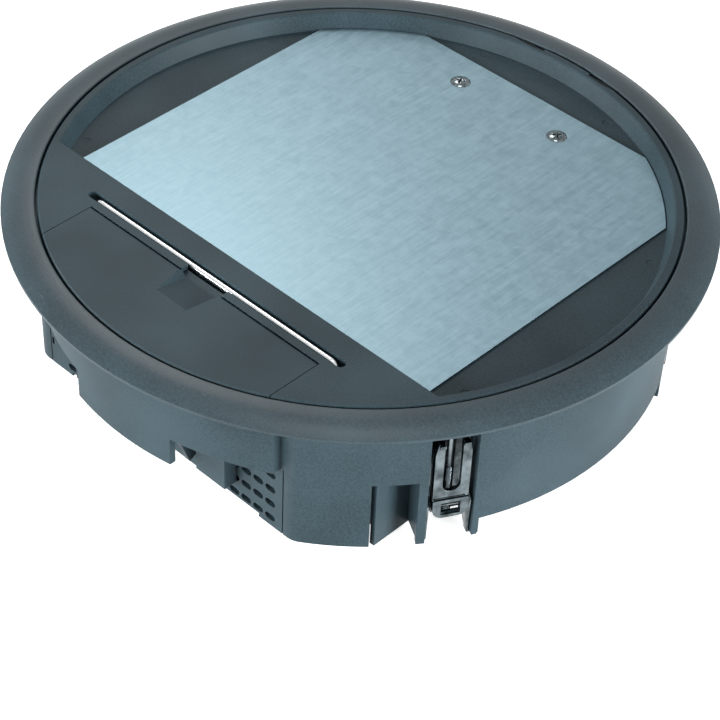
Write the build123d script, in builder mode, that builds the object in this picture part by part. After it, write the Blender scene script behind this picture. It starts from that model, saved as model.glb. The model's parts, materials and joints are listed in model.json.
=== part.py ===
from build123d import *
import math
import os

os.makedirs("parts", exist_ok=True)

# Floor socket box for a round floor opening, in millimetres.
# +Z is up and +Y points to the lid hinge. Heights below are written against
# the finished floor, floor_z above the lowest point of the box.

# trim ring, which lies on the floor
ring_radius = 162.5
ring_width = 15.5
ring_height = 6.0
ring_land = 2.5
ring_edge_height = 2.4
ring_wall = 1.8
ring_rib_width = 3.5
ring_edge_fillet = 0.8
ring_screw_count = 6
ring_screw_shank = 1.4
ring_screw_angle = 15.0

# lid
lid_gap = 1.0
lid_rim_width = 3.5
lid_depth = 14.0
lid_skirt_wall = 2.8
lid_skin = 3.0
lid_floor = 2.5
lid_edge_chamfer = 0.8
lid_rib = 2.0
seat_clearance = 0.3
recess_rim = 4.5
recess_slope = 2.8
recess_edge = 0.7
recess_chord_inset = 68.4
mark_radius = 2.0
mark_depth = 0.2
mark_inset = 11.5
mark_angles = (-27.0, 27.0, 73.0, 107.0, 153.0, 207.0)
seat_overlap = 2.5

# steel plate that carries the floor covering
plate_thickness = 1.0
plate_top_depth = 7.3
plate_side_inset = 29.1
plate_front_gap = 1.0
plate_rear_inset = 19.6
plate_wall_gap = 0.3
plate_screw_x = 30.7
plate_screw_inset = 17.2
plate_screw_head_radius = 5.0
plate_screw_radius = 2.5
plate_screw_length = 6.0

# lid hinge
hinge_pin_radius = 0.8
hinge_pin_half_length = 36.0
hinge_pin_fit = 0.05
hinge_pin_end_gap = 0.2
hinge_inset = 1.8
hinge_bore_half_length = 14.0
hinge_relief_depth = 0.6
hinge_relief_half_width = 26.0
hinge_swing_gap = 0.6

# cord flap
flap_half_width = 72.0
flap_length = 47.9
flap_gap = 0.35
flap_thickness = 3.2
flap_pin_radius = 1.1
flap_pin_length = 3.2
flap_pin_fit = 0.08
flap_pin_end_gap = 0.2
flap_pin_boss = 4.0
flap_ledge = 6.0
flap_ledge_depth = 3.0
flap_rib = 1.6
flap_rib_length = 34.0
finger_boss_length = 14.0
finger_boss_side = 2.0
finger_front_inset = 30.5
finger_front_half_width = 9.5
finger_rear_half_width = 13.0
finger_floor_half_width = 8.9
finger_depth = 3.2
finger_floor_wall = 1.5

# lifting handle in its slot
handle_radius = 1.5
handle_inset = 54.0
handle_below_top = 2.3
handle_end_gap = 3.0
handle_bend = 3.5
handle_lift = 16.0
handle_stop_radius = 3.2
handle_stop_height = 2.5
handle_fit = 0.08
handle_seat_gap = 0.5
handle_boss_wall = 3.0
slot_half_length = 80.2
slot_half_width = 2.4
slot_wall = 2.0
notch_half_width = 12.7
tongue_gap = 0.2
tongue_rise = 0.1

# housing below the floor
flange_thickness = 1.2
flange_setback = 1.2
body_lap = 1.0
body_wall = 3.0
lip_depth = 1.8
lip_proud = 0.8
chord_inset = 25.0
chord_corner_radius = 10.0
skirt_half_width = 75.0
skirt_depth = 36.0
shelf = 2.5
tab_half_width = 30.0
tab_depth = 51.0
corner_depth = 74.5
side_depth = 65.0
side_half_width = 62.5
arch_angle = 39.5
arch_width = 20.1
arch_top_depth = 37.5
inner_wall_inset = 39.4
inner_wall = 2.5
inner_top_depth = 12.0
rail_width = 14.0
rail_top_depth = 40.0
rail_thickness = 4.0
latch_block_inner_x = 31.0
latch_block_outer_x = 49.0
latch_block_reach = 8.0
latch_block_depth = 62.0
latch_block_wall = 2.0
gusset_x = 26.0
gusset_thickness = 3.0
gusset_reach = 17.0
gusset_depth = 60.0

# claw pockets and claws
claw_angles = (30.0, 150.0, 210.0, 330.0)
pocket_half_width = 10.5
pocket_wall = 3.0
pocket_reach = 18.0
pocket_depth = 73.8
pocket_top_depth = 9.0
pocket_window_depth = 6.0
sheet = 1.2
bracket_gap = 0.3
bracket_top_depth = 13.1
bracket_top_reach = 15.0
bracket_leaf_reach = 15.8
bracket_neck_reach = 9.0
bracket_neck_depth = 48.0
bracket_foot = 10.0
hook_length = 2.3
hook_width = 4.0
hook_inset = 2.5
claw_screw_inset = 7.4
claw_screw_radius = 2.4
claw_screw_head_radius = 4.2
claw_screw_head_height = 3.0
claw_cross = 5.0
claw_screw_depth = 65.0
claw_nut_radius = 3.9
claw_nut_half_length = 6.2
claw_journal_radius = 2.4
claw_nut_depth = 55.0
claw_fit = 0.06
claw_half_width = 8.0
claw_sheet = 1.5
claw_plate_inset = 1.6
claw_plate = 1.8
claw_top_depth = 18.0
claw_bottom_depth = 60.5
claw_slot_half_width = 4.0
claw_slot_bottom_depth = 46.0
claw_window_half_width = 4.4
claw_window_height = 7.0
claw_corner_radius = 5.0
claw_face_height = 10.5
claw_face = 1.2
claw_tip = 1.2

# grille panels in the flat ends of the housing
grille_side_inset = 6.0
grille_thickness = 2.5
grille_tongue = 4.5
grille_tongue_thickness = 1.5
grille_slot_length = 6.1
grille_slot_height = 3.5
grille_slot_inset = 28.15
grille_slot_depth = 56.6
grille_pitch_x = 7.4
grille_pitch_z = 8.6
grille_columns = 5
grille_left_columns = 4
grille_rows = 4
grille_notch_half_width = 62.0
grille_notch_height = 2.0
latch_slot_inset = 1.3
latch_slot_width = 1.5
latch_slot_height = 4.0
latch_slot_depth = 47.0
latch_slot_pitch = 14.0

# mounting boxes with their sockets
box_side_gap = 7.1
box_width = 74.0
box_end_gap = 20.0
box_wall = 1.6
box_corner = 4.0
box_socket_margin = 4.0
box_bottom_depth = 74.0
cover_thickness = 2.0
lug_half_width = 14.0
lug_reach = 14.0
lug_thickness = 2.0
lug_screw_radius = 2.0
lug_screw_head_radius = 3.8
lug_screw_length = 5.0
socket_count = 3
socket_body = 45.0
socket_body_corner = 3.0
socket_fit = 0.3
socket_flange = 53.0
socket_flange_corner = 5.0
socket_flange_thickness = 2.0
socket_body_depth = 26.0
well_radius = 19.75
well_depth = 17.5
contact_spacing = 19.0
contact_hole_radius = 2.7
sleeve_radius = 2.5
sleeve_bore_radius = 2.05
sleeve_length = 7.0
clip_half_width = 2.2
clip_thickness = 0.8
clip_gap = 0.25
clip_groove = 1.5
clip_bump = 1.3
clip_bump_height = 3.5
grommet_radius = 10.0
grommet_bore_radius = 6.0
grommet_flange = 2.0
grommet_flange_thickness = 1.5

floor_z = pocket_depth + sheet
lid_top = floor_z + ring_height
ring_opening_radius = ring_radius - ring_width
lid_radius = ring_opening_radius - lid_gap
lid_skirt_radius = lid_radius - lid_rim_width
lid_bottom = lid_top - lid_depth
flange_top = floor_z + flange_thickness
flange_radius = ring_radius - flange_setback
seat_radius = lid_radius - seat_overlap
rim_bottom = flange_top + seat_clearance
plate_top = lid_top - plate_top_depth
recess_floor = plate_top - plate_thickness
recess_radius = lid_radius - recess_rim
recess_floor_radius = recess_radius - recess_slope
recess_chord_y = recess_chord_inset - lid_radius
plate_half_width = recess_floor_radius - plate_side_inset
plate_rear_y = recess_floor_radius - plate_rear_inset
plate_screw_y = plate_rear_y - plate_screw_inset
hinge_y = lid_radius - hinge_inset
hinge_z = lid_top - hinge_inset
flap_edge_y = flap_length - lid_radius
finger_front_y = finger_front_inset - lid_radius
handle_y = handle_inset - lid_radius
handle_leg_x = slot_half_length - handle_end_gap - handle_radius
notch_end_y = handle_y - slot_half_width + tongue_gap / 2
tongue_end_y = handle_y - slot_half_width - tongue_gap
flap_pivot_y = flap_edge_y - flap_gap - flap_thickness / 2
flap_pivot_z = lid_top - flap_thickness / 2
handle_z = lid_top - handle_below_top
slot_floor = handle_z - handle_bend - handle_seat_gap
handle_leg_bottom = lid_bottom - seat_clearance - handle_lift - handle_stop_height
ring_screw_radius = (ring_opening_radius + ring_radius) / 2
body_radius = ring_opening_radius + body_lap
chord_half = body_radius - chord_inset
half_chord = math.sqrt(body_radius**2 - chord_half**2)
inner_wall_x = body_radius - inner_wall_inset
pocket_back_radius = body_radius - pocket_reach
claw_screw_u = body_radius - claw_screw_inset
claw_plate_u = body_radius - claw_plate_inset
grille_half_width = half_chord - grille_side_inset
grille_slot_x = half_chord - grille_slot_inset
box_centre_x = inner_wall_x - inner_wall - box_side_gap - box_width / 2
box_half_length = chord_half - box_end_gap
socket_pitch = 2 * (box_half_length - box_socket_margin) / socket_count
box_top = floor_z - rail_top_depth + lug_thickness
cover_top = box_top + cover_thickness


def block(low, high, mode=Mode.ADD):
    """A box between two corners, in the part under construction."""
    middle = tuple((a + b) / 2 for a, b in zip(low, high))
    with Locations(middle):
        Box(*[b - a for a, b in zip(low, high)], mode=mode)


def ring_top(radius):
    """Height of the ring's crown at a radius."""
    run = ring_radius - ring_opening_radius - ring_land
    drop = ring_height - ring_edge_height
    crown = (run**2 + drop**2) / (2 * drop)
    beyond = max(radius - ring_opening_radius - ring_land, 0)
    return lid_top - crown + math.sqrt(crown**2 - beyond**2)


def lower_plan(inset):
    """Outline of the housing below the skirts, drawn inwards by inset."""
    with BuildSketch() as plan:
        Circle(body_radius - inset)
        Rectangle(2 * body_radius, 2 * (chord_half - inset), mode=Mode.INTERSECT)
        fillet(plan.vertices(), chord_corner_radius - inset)
    return plan.sketch


def upper_plan(inset):
    """Outline of the housing at its skirts, drawn inwards by inset."""
    with BuildSketch() as plan:
        Rectangle(2 * body_radius, 2 * (chord_half - inset))
        Rectangle(2 * (skirt_half_width - inset), 2 * body_radius)
        Circle(body_radius - inset, mode=Mode.INTERSECT)
    return plan.sketch


def countersunk_screw(head_radius, radius, length, cross):
    """A cross-head countersunk screw along -Z with its head's face at Z = 0."""
    with BuildPart() as screw:
        with BuildSketch(Plane.XZ):
            with BuildLine():
                Polyline(
                    (0, 0),
                    (head_radius, 0),
                    (radius, radius - head_radius),
                    (radius, -length),
                    (0, -length),
                    close=True,
                )
            make_face()
        revolve(axis=Axis.Z)
        with Locations((0, 0, 0)):
            Box(cross, cross / 4, cross / 2, mode=Mode.SUBTRACT)
            Box(cross / 4, cross, cross / 2, mode=Mode.SUBTRACT)
    return screw.part


# trim ring: a hollow crown over the flange, with screw bosses inside
with BuildPart() as trim_ring:
    land_end = ring_opening_radius + ring_land
    hollow_start = ring_opening_radius + ring_rib_width
    hollow_end = ring_radius - ring_rib_width
    with BuildSketch(Plane.XZ):
        with BuildLine():
            inner = Line((ring_opening_radius, flange_top), (ring_opening_radius, lid_top))
            land = Line(inner @ 1, (land_end, lid_top))
            crown = TangentArc(land @ 1, (ring_radius, ring_top(ring_radius)), tangent=(1, 0))
            Line(crown @ 1, (ring_radius, flange_top))
            Line((ring_radius, flange_top), inner @ 0)
        make_face()
        with BuildLine():
            hollow_height = ring_top(hollow_start) - ring_wall
            hollow_side = Line((hollow_start, flange_top), (hollow_start, hollow_height))
            hollow_top = Line(hollow_side @ 1, (hollow_end, ring_top(hollow_end) - ring_wall))
            Line(hollow_top @ 1, (hollow_end, flange_top))
            Line((hollow_end, flange_top), hollow_side @ 0)
        make_face(mode=Mode.SUBTRACT)
    revolve(axis=Axis.Z)
    ring_top_edges = trim_ring.edges().filter_by(GeomType.CIRCLE).group_by(Axis.Z)[-1]
    fillet(ring_top_edges.sort_by(SortBy.RADIUS)[0], ring_edge_fillet)
    boss_height = ring_top(ring_screw_radius) - ring_wall / 2 - flange_top
    with BuildSketch(Plane.XY.offset(flange_top)):
        with PolarLocations(ring_screw_radius, ring_screw_count, start_angle=ring_screw_angle):
            Circle(ring_rib_width)
    extrude(amount=boss_height)
    with BuildSketch(Plane.XY.offset(flange_top)):
        with PolarLocations(ring_screw_radius, ring_screw_count, start_angle=ring_screw_angle):
            Circle(ring_screw_shank)
    extrude(amount=boss_height - ring_wall / 2 + seat_clearance, mode=Mode.SUBTRACT)
    with BuildSketch(Plane.YZ):
        with Locations((hinge_y, hinge_z)):
            Circle(hinge_pin_radius + hinge_pin_fit)
    extrude(amount=hinge_pin_half_length + hinge_pin_end_gap, both=True, mode=Mode.SUBTRACT)
trim_ring.part.label = "trim_ring"
export_step(trim_ring.part, "parts/trim_ring.step")

# ring screws, from below through the flange into the ring's bosses
ring_screw_length = boss_height + flange_thickness - ring_wall / 2
with BuildPart() as ring_screws:
    ring_screw_head = ring_screw_shank + flange_thickness
    ring_screw = countersunk_screw(ring_screw_head, ring_screw_shank, ring_screw_length, ring_screw_head)
    for turn in range(ring_screw_count):
        angle = math.radians(ring_screw_angle + 360 / ring_screw_count * turn)
        place = (ring_screw_radius * math.cos(angle), ring_screw_radius * math.sin(angle), floor_z)
        add(Location(place, (180, 0, 0)) * ring_screw)
ring_screws.part.label = "ring_screws"
export_step(ring_screws.part, "parts/ring_screws.step")

# housing: flange, seat lip, wall with skirts, chord ends, arches and claw pockets
with BuildPart() as housing:
    with BuildSketch(Plane.XY.offset(floor_z)):
        Circle(flange_radius)
        Circle(seat_radius, mode=Mode.SUBTRACT)
    extrude(amount=flange_thickness)
    with BuildSketch(Plane.XY.offset(floor_z - lip_depth)):
        Circle(body_radius + lip_proud)
        Circle(seat_radius, mode=Mode.SUBTRACT)
    extrude(amount=lip_depth)
    with BuildSketch(Plane.XY.offset(floor_z - skirt_depth)):
        add(upper_plan(0))
        add(upper_plan(body_wall), mode=Mode.SUBTRACT)
    extrude(amount=skirt_depth - lip_depth)
    with BuildSketch(Plane.XY.offset(floor_z - corner_depth)):
        add(lower_plan(0))
        add(lower_plan(body_wall), mode=Mode.SUBTRACT)
    extrude(amount=corner_depth - skirt_depth)
    block(
        (-body_radius - 1, -side_half_width, -1),
        (body_radius + 1, side_half_width, floor_z - side_depth),
        Mode.SUBTRACT,
    )
    for angle in (arch_angle, 180 - arch_angle, 180 + arch_angle, -arch_angle):
        with BuildSketch(Plane.XY.offset(-1)):
            with PolarLocations(body_radius, 1, start_angle=angle):
                Rectangle(2 * body_wall + 1, arch_width)
        extrude(amount=floor_z - arch_top_depth + 1, mode=Mode.SUBTRACT)
    with BuildSketch(Plane.XY.offset(floor_z - skirt_depth)):
        add(upper_plan(0))
        add(lower_plan(body_wall), mode=Mode.SUBTRACT)
        Rectangle(2 * skirt_half_width, 2 * body_radius, mode=Mode.INTERSECT)
    extrude(amount=shelf)
    with BuildSketch(Plane.XY.offset(floor_z - tab_depth)):
        Circle(body_radius)
        Circle(body_radius - body_wall, mode=Mode.SUBTRACT)
        Rectangle(2 * tab_half_width, 2 * body_radius, mode=Mode.INTERSECT)
    extrude(amount=tab_depth - skirt_depth)
    for side in (-1, 1):
        rear_reach = math.sqrt(body_radius**2 - inner_wall_x**2) - 1
        wall_middle = side * (inner_wall_x - inner_wall / 2)
        with BuildSketch(Plane.XY.offset(floor_z - corner_depth)):
            with Locations((wall_middle, 0)):
                Rectangle(inner_wall, 2 * rear_reach)
        extrude(amount=corner_depth - inner_top_depth)
    with BuildSketch(Plane.XY.offset(floor_z - rail_top_depth - rail_thickness)):
        for side in (-1, 1):
            with Locations((0, side * (chord_half - body_wall - rail_width / 2))):
                Rectangle(2 * body_radius, rail_width)
        Circle(body_radius - body_wall / 2, mode=Mode.INTERSECT)
    extrude(amount=rail_thickness)
    for end in (-1, 1):
        for side in (-1, 1):
            block_x = side * (latch_block_inner_x + latch_block_outer_x) / 2
            block_y = end * (chord_half + latch_block_reach / 2)
            block_width = latch_block_outer_x - latch_block_inner_x
            with BuildSketch(Plane.XY.offset(floor_z - latch_block_depth)):
                with Locations((block_x, block_y)):
                    Rectangle(block_width, latch_block_reach)
                    inner_width = block_width - 2 * latch_block_wall
                    inner_reach = latch_block_reach - 2 * latch_block_wall
                    Rectangle(inner_width, inner_reach, mode=Mode.SUBTRACT)
            extrude(amount=latch_block_depth - skirt_depth)
            with BuildSketch(Plane.YZ.offset(side * gusset_x - gusset_thickness / 2)):
                with BuildLine():
                    Polyline(
                        (end * (chord_half + 1), floor_z - skirt_depth),
                        (end * (chord_half + gusset_reach), floor_z - skirt_depth),
                        (end * (chord_half + gusset_reach / 2), floor_z - gusset_depth),
                        (end * (chord_half + 1), floor_z - gusset_depth + 4),
                        close=True,
                    )
                make_face()
            extrude(amount=gusset_thickness)
    # room for the lid's skirt, down to the pockets
    with BuildSketch(Plane.XY.offset(floor_z - pocket_top_depth)):
        Circle(seat_radius)
    extrude(amount=pocket_top_depth, mode=Mode.SUBTRACT)
    # room for the rear of the lid's rim as it swings down
    block(
        (-hinge_relief_half_width, seat_radius - 1, flange_top - hinge_relief_depth),
        (hinge_relief_half_width, hinge_y + hinge_inset + hinge_relief_depth, flange_top + 1),
        Mode.SUBTRACT,
    )
    # the panels slide into openings in the flat ends
    for end in (-1, 1):
        opening_low = min(end * (chord_half + 1), end * (chord_half - body_wall))
        block(
            (-grille_half_width - 0.6, opening_low, -1),
            (grille_half_width + 0.6, opening_low + body_wall + 1, floor_z - skirt_depth),
            Mode.SUBTRACT,
        )
        tongue_end = chord_half - body_wall - grille_tongue_thickness - 0.2
        near, far = sorted((end * tongue_end, end * (chord_half - body_wall)))
        tongue_reach = grille_half_width + grille_tongue + 0.3
        block((-tongue_reach, near, -1), (tongue_reach, far, floor_z - skirt_depth), Mode.SUBTRACT)
    for angle in claw_angles:
        pocket = Plane(
            origin=(0, 0, floor_z - pocket_depth),
            x_dir=(math.cos(math.radians(angle)), math.sin(math.radians(angle)), 0),
            z_dir=(0, 0, 1),
        )
        outer_half = pocket_half_width + pocket_wall
        back = pocket_back_radius - inner_wall
        with BuildSketch(pocket):
            Circle(body_radius)
            with Locations(((back + body_radius) / 2 + 1, 0)):
                Rectangle(body_radius - back + 2, 2 * outer_half, mode=Mode.INTERSECT)
        extrude(amount=pocket_depth - pocket_top_depth)
        with BuildSketch(pocket):
            with Locations(((pocket_back_radius + body_radius) / 2 + 1, 0)):
                Rectangle(body_radius - pocket_back_radius + 2, 2 * pocket_half_width)
        extrude(amount=pocket_depth - pocket_window_depth, mode=Mode.SUBTRACT)
        with BuildSketch(pocket.offset(-2)):
            with Locations(((pocket_back_radius + body_radius) / 2 + 1, 0)):
                Rectangle(body_radius - pocket_back_radius + 2, 2 * pocket_half_width)
        extrude(amount=4, mode=Mode.SUBTRACT)
    # countersunk holes for the ring screws, and threaded holes for the box screws
    with PolarLocations(ring_screw_radius, ring_screw_count, start_angle=ring_screw_angle):
        with Locations((0, 0, floor_z + flange_thickness / 2)):
            Cone(ring_screw_shank + flange_thickness, ring_screw_shank, flange_thickness, mode=Mode.SUBTRACT)
    with BuildSketch(Plane.XY.offset(floor_z - rail_top_depth)):
        for side in (-1, 1):
            for end in (-1, 1):
                with Locations((side * box_centre_x, end * (box_half_length + lug_reach / 2))):
                    Circle(lug_screw_radius)
    extrude(amount=-rail_thickness, mode=Mode.SUBTRACT)
housing.part.label = "housing"
export_step(housing.part, "parts/housing.step")

# grille panel of the front end, with tongues behind the housing wall
with BuildPart() as front_grille:
    panel_bottom = floor_z - corner_depth
    panel_top = floor_z - skirt_depth
    panel_height = panel_top - panel_bottom
    with BuildSketch(Plane.XY.offset(panel_bottom)):
        with Locations((0, -chord_half + grille_thickness / 2)):
            Rectangle(2 * grille_half_width, grille_thickness)
        for side in (-1, 1):
            with Locations((side * (grille_half_width - 1), -chord_half + body_wall - 0.25)):
                Rectangle(2, 2 * grille_thickness - body_wall + 1)
            with Locations((side * (grille_half_width + grille_tongue / 2 - 1), -chord_half + body_wall)):
                Rectangle(grille_tongue + 2, grille_tongue_thickness, align=(Align.CENTER, Align.MIN))
    extrude(amount=panel_height)
    left_slot_x = (grille_columns - grille_left_columns) * grille_pitch_x / 2 - grille_slot_x
    with BuildSketch(Plane.XZ.offset(chord_half)):
        for slot_x, columns in ((left_slot_x, grille_left_columns), (grille_slot_x, grille_columns)):
            with Locations((slot_x, floor_z - grille_slot_depth)):
                with GridLocations(grille_pitch_x, grille_pitch_z, columns, grille_rows):
                    SlotOverall(grille_slot_length, grille_slot_height)
        for row in range(2):
            latch_slot_z = floor_z - latch_slot_depth - row * latch_slot_pitch
            with Locations((latch_slot_inset - grille_half_width, latch_slot_z)):
                Rectangle(latch_slot_width, latch_slot_height)
        with Locations((0, panel_bottom)):
            Rectangle(2 * grille_notch_half_width, 2 * grille_notch_height)
    extrude(amount=-grille_thickness, mode=Mode.SUBTRACT)
front_grille.part.label = "front_grille"
export_step(front_grille.part, "parts/front_grille.step")

with BuildPart() as rear_grille:
    mirror(front_grille.part, about=Plane.XZ)
rear_grille.part.label = "rear_grille"
export_step(rear_grille.part, "parts/rear_grille.step")

# hinge pin, through the rear of the lid's rim, with its ends in the ring's inner wall
with BuildPart() as hinge_pin:
    with BuildSketch(Plane.YZ):
        with Locations((hinge_y, hinge_z)):
            Circle(hinge_pin_radius)
    extrude(amount=hinge_pin_half_length, both=True)
hinge_pin.part.label = "hinge_pin"
export_step(hinge_pin.part, "parts/hinge_pin.step")

# recess of the lid: a dished round cut, ended by the strip that holds the handle
with BuildPart() as recess_cut:
    with BuildSketch(Plane.XZ):
        with BuildLine():
            Polyline(
                (0, recess_floor),
                (recess_floor_radius, recess_floor),
                (recess_radius, lid_top - recess_edge),
                (recess_radius + recess_edge, lid_top),
                (recess_radius + recess_edge, lid_top + 1),
                (0, lid_top + 1),
                close=True,
            )
        make_face()
    revolve(axis=Axis.Z)
    split(bisect_by=Plane.XZ.offset(-recess_chord_y), keep=Keep.BOTTOM)

# lid: rim and skirt, dished recess, strip with the handle slot, opening for cords
with BuildPart() as lid_frame:
    with BuildSketch(Plane.XY.offset(rim_bottom)):
        Circle(lid_radius)
    extrude(amount=lid_top - rim_bottom)
    with BuildSketch(Plane.XY.offset(lid_bottom)):
        Circle(lid_skirt_radius)
    extrude(amount=rim_bottom - lid_bottom)
    add(recess_cut.part, mode=Mode.SUBTRACT)
    pocket_radius = lid_skirt_radius - lid_skirt_wall
    side_length = 2 * pocket_radius
    strip_wall_y = recess_chord_y - lid_floor
    with BuildSketch(Plane.XY.offset(lid_bottom)):
        Circle(pocket_radius)
        with Locations((0, recess_chord_y)):
            Rectangle(side_length, side_length, align=(Align.CENTER, Align.MIN), mode=Mode.INTERSECT)
    extrude(amount=recess_floor - lid_floor - lid_bottom, mode=Mode.SUBTRACT)
    with BuildSketch(Plane.XY.offset(lid_bottom)):
        Circle(pocket_radius)
        with Locations((0, strip_wall_y)):
            Rectangle(side_length, side_length, align=(Align.CENTER, Align.MAX), mode=Mode.INTERSECT)
    extrude(amount=lid_top - lid_skin - lid_bottom, mode=Mode.SUBTRACT)
    # stiffening ribs under the recess
    with BuildSketch(Plane.XY.offset(lid_bottom)):
        with Locations((0, (pocket_radius + recess_chord_y) / 2)):
            with GridLocations(2 * plate_screw_x, 0, 4, 1):
                Rectangle(lid_rib, side_length)
            with GridLocations(0, 2 * plate_screw_x, 1, 3):
                Rectangle(side_length, lid_rib)
        Circle(pocket_radius + 0.5, mode=Mode.INTERSECT)
        with Locations((0, recess_chord_y - 0.5)):
            Rectangle(side_length, side_length, align=(Align.CENTER, Align.MIN), mode=Mode.INTERSECT)
    extrude(amount=recess_floor - lid_floor - lid_bottom)
    # trough round the handle slot
    trough_half_width = slot_half_width + slot_wall
    block(
        (-slot_half_length - slot_wall, handle_y - trough_half_width, slot_floor - slot_wall),
        (slot_half_length + slot_wall, handle_y + trough_half_width, lid_top - lid_skin),
    )
    # bosses for the handle's legs, the plate screws and the flap's pins
    with BuildSketch(Plane.XY.offset(lid_bottom)):
        with Locations((-handle_leg_x, handle_y), (handle_leg_x, handle_y)):
            Circle(handle_radius + handle_boss_wall)
    extrude(amount=slot_floor - lid_bottom)
    with BuildSketch(Plane.XY.offset(lid_bottom)):
        with Locations((-plate_screw_x, plate_screw_y), (plate_screw_x, plate_screw_y)):
            Circle(plate_screw_radius + 2)
    extrude(amount=recess_floor - lid_floor - lid_bottom)
    boss_end = flap_half_width + flap_pin_length + 2
    for side in (-1, 1):
        near, far = sorted((side * (flap_half_width - flap_ledge), side * boss_end))
        skin_bottom = lid_top - lid_skin
        boss_low = flap_pivot_z - 1.5 * flap_pin_boss
        block((near, flap_pivot_y - flap_pin_boss, boss_low), (far, flap_edge_y + 1, skin_bottom))
        ledge_start = -math.sqrt(pocket_radius**2 - boss_end**2) - 1
        block((near, ledge_start, skin_bottom - flap_ledge_depth), (far, flap_edge_y, skin_bottom))
    # handle slot, and the notch that joins it to the flap's finger recess
    with BuildSketch(Plane.XY.offset(slot_floor)):
        with Locations((0, handle_y)):
            SlotOverall(2 * slot_half_length, 2 * slot_half_width)
    extrude(amount=lid_top - slot_floor + 1, mode=Mode.SUBTRACT)
    block(
        (-notch_half_width, flap_edge_y - 1, lid_bottom - 1),
        (notch_half_width, notch_end_y, lid_top + 1),
        Mode.SUBTRACT,
    )
    # seat of the flap, and the opening below it for cords
    block(
        (-flap_half_width, -lid_radius - 1, lid_top - flap_thickness - seat_clearance),
        (flap_half_width, flap_edge_y, lid_top + 1),
        Mode.SUBTRACT,
    )
    block(
        (-flap_half_width + flap_ledge, -lid_radius - 1, lid_bottom - 1),
        (flap_half_width - flap_ledge, flap_edge_y, lid_top),
        Mode.SUBTRACT,
    )
    top_edges = lid_frame.edges().filter_by(GeomType.CIRCLE).group_by(Axis.Z)[-1]
    rim_edges = top_edges.filter_by(lambda edge: edge.radius > recess_radius + 2 * recess_edge)
    chamfer(rim_edges, lid_edge_chamfer)
    with BuildSketch(Plane.YZ):
        with Locations((flap_pivot_y, flap_pivot_z)):
            Circle(flap_pin_radius + flap_pin_fit)
    extrude(amount=flap_half_width + flap_pin_length + flap_pin_end_gap, both=True, mode=Mode.SUBTRACT)
    # holes for the handle's legs and the plate screws
    with BuildSketch(Plane.XY.offset(lid_bottom)):
        with Locations((-handle_leg_x, handle_y), (handle_leg_x, handle_y)):
            Circle(handle_radius + handle_fit)
        with Locations((-plate_screw_x, plate_screw_y), (plate_screw_x, plate_screw_y)):
            Circle(plate_screw_radius)
    extrude(amount=slot_floor - lid_bottom, mode=Mode.SUBTRACT)
    cone_height = plate_screw_head_radius - plate_screw_radius
    with Locations(
        (-plate_screw_x, plate_screw_y, plate_top - cone_height / 2),
        (plate_screw_x, plate_screw_y, plate_top - cone_height / 2),
    ):
        Cone(plate_screw_radius, plate_screw_head_radius, cone_height, mode=Mode.SUBTRACT)
    # round ejector marks in the recess floor
    with BuildSketch(Plane.XY.offset(recess_floor)):
        for angle in mark_angles:
            with PolarLocations(lid_radius - mark_inset, 1, start_angle=angle):
                Circle(mark_radius)
    extrude(amount=-mark_depth, mode=Mode.SUBTRACT)
    # the rear of the rim is cut to the ring's opening, turned back from the open lid
    swing_reach = lid_top - hinge_z + hinge_swing_gap
    with BuildSketch(Plane.XZ.offset(-lid_radius - 1)):
        with Locations((0, rim_bottom)):
            Rectangle(2 * lid_radius, lid_depth, align=(Align.CENTER, Align.MIN))
        with Locations((0, hinge_z - hinge_y)):
            Circle(ring_opening_radius - hinge_swing_gap, mode=Mode.SUBTRACT)
    extrude(amount=lid_radius + 1 - hinge_y + swing_reach, mode=Mode.SUBTRACT)
    # bore of the hinge, and open grooves for the pin on both sides of it
    with BuildSketch(Plane.YZ):
        with Locations((hinge_y, hinge_z)):
            Circle(hinge_pin_radius + hinge_pin_fit)
    extrude(amount=hinge_bore_half_length, both=True, mode=Mode.SUBTRACT)
    groove_reach = hinge_pin_radius + 2 * hinge_pin_fit
    for side in (-1, 1):
        near, far = sorted((side * hinge_bore_half_length, side * hinge_pin_half_length))
        block(
            (near, hinge_y - groove_reach, hinge_z - groove_reach),
            (far, lid_radius + 1, lid_top + 1),
            Mode.SUBTRACT,
        )
lid_frame.part.label = "lid_frame"
export_step(lid_frame.part, "parts/lid_frame.step")

# steel plate in the recess, cut off by the recess wall at its corners
with BuildPart() as carpet_plate:
    plate_front_y = recess_chord_y + plate_front_gap
    with BuildSketch(Plane.XY.offset(recess_floor)):
        with Locations((0, plate_front_y)):
            plate_length = plate_rear_y - plate_front_y
            Rectangle(2 * plate_half_width, plate_length, align=(Align.CENTER, Align.MIN))
        Circle(recess_floor_radius - plate_wall_gap, mode=Mode.INTERSECT)
    extrude(amount=plate_thickness)
    with Locations(
        (-plate_screw_x, plate_screw_y, plate_top - cone_height / 2),
        (plate_screw_x, plate_screw_y, plate_top - cone_height / 2),
    ):
        Cone(plate_screw_radius, plate_screw_head_radius, cone_height, mode=Mode.SUBTRACT)
carpet_plate.part.label = "carpet_plate"
export_step(carpet_plate.part, "parts/carpet_plate.step")

with BuildPart() as plate_screws:
    plate_screw = countersunk_screw(
        plate_screw_head_radius, plate_screw_radius, plate_screw_length, plate_screw_head_radius
    )
    for side in (-1, 1):
        add(Location((side * plate_screw_x, plate_screw_y, plate_top)) * plate_screw)
plate_screws.part.label = "plate_screws"
export_step(plate_screws.part, "parts/plate_screws.step")

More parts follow.
